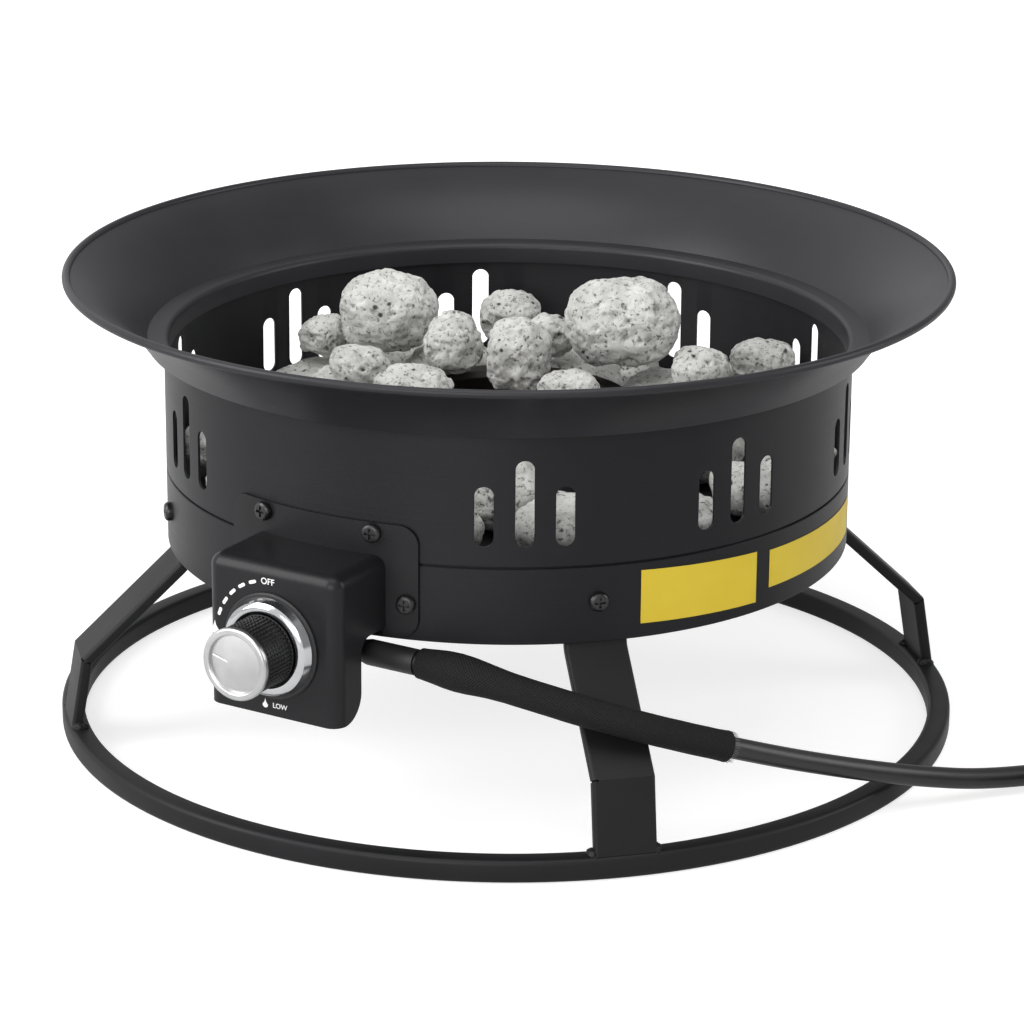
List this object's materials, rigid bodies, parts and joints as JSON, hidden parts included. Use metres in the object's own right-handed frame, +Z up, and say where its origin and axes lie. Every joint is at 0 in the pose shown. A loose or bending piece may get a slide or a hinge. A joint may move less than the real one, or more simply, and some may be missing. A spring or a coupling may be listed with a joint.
{
  "type": "propane fire pit",
  "caption": "Round portable propane fire pit: vented black steel bowl with flared rim and lava stones on a leg ring, control box with push-and-turn knob, sleeved hose and regulator.",
  "frame": {"origin": "centre of the foot ring, on the ground", "axes": "+Z up; the control box and its knob face -Y; the hose leaves to +X"},
  "size_m": [0.7888, 0.5145, 0.2491],
  "materials": {
    "black_steel": "satin black powder coat",
    "black_screw": "black oxide",
    "brass": "machined",
    "valve_steel": "machined",
    "black_plastic": "moulded, matte",
    "chrome": "bright chrome",
    "satin_metal": "satin",
    "burner_steel": "stainless, plain",
    "rock": "rough, porous",
    "rubber": "extruded",
    "braid": "braided sleeve",
    "strap": "hook-and-loop strap",
    "regulator_grey": "cast, bead blasted",
    "zinc": "zinc plated"
  },
  "bodies": {
    "pit": {"foot_ring": "black_steel", "leg_front_right": "black_steel", "leg_back_right": "black_steel", "leg_back_left": "black_steel", "leg_front_left": "black_steel", "leg_screws": "black_screw", "base_pan": "black_steel", "upper_shell": "black_steel", "rim_ring": "black_steel", "control_box": "black_steel", "control_box_screws": "black_screw", "gas_valve": "brass", "valve_nut": "brass", "bezel_base": "black_plastic", "knob_bezel": "chrome", "gas_jet": "brass", "mixer_tube": "burner_steel", "air_shutter": "burner_steel", "burner_ring": "burner_steel", "burner_posts": "burner_steel", "lava_rocks": "rock", "inlet_fitting": "brass", "hose_boot": "rubber", "hose_sleeve": "braid", "gas_hose": "rubber", "hose_coil": "rubber", "hose_tail": "rubber", "coil_tie": "strap", "end_ferrule": "brass", "regulator_body": "regulator_grey", "regulator_cap": "regulator_grey", "regulator_screws": "zinc", "inlet_nipple": "brass"},
    "plug": {"valve_plug": "brass"},
    "knob": {"knob_grip": "black_plastic", "knob_cap": "satin_metal", "valve_stem": "valve_steel"},
    "coupling": {"coupling_nut": "black_plastic"}
  },
  "joints": [
    {"name": "knob_turn", "type": "hinge", "parent": "pit", "child": "plug", "pos_m": [0, -0.2055, 0.1045], "axis": [0, -1, 0], "range_deg": [-75, 105]},
    {"name": "knob_push", "type": "slide", "parent": "plug", "child": "knob", "axis": [0, 1, 0], "range_m": [0, 0.003], "stiffness_N_per_m": 1500, "springref_m": -0.003},
    {"name": "coupling_turn", "type": "hinge", "parent": "pit", "child": "coupling", "pos_m": [0.51359, 0.22815, 0.023], "axis": [0.8793, 0.4763, 0], "continuous": true}
  ]
}
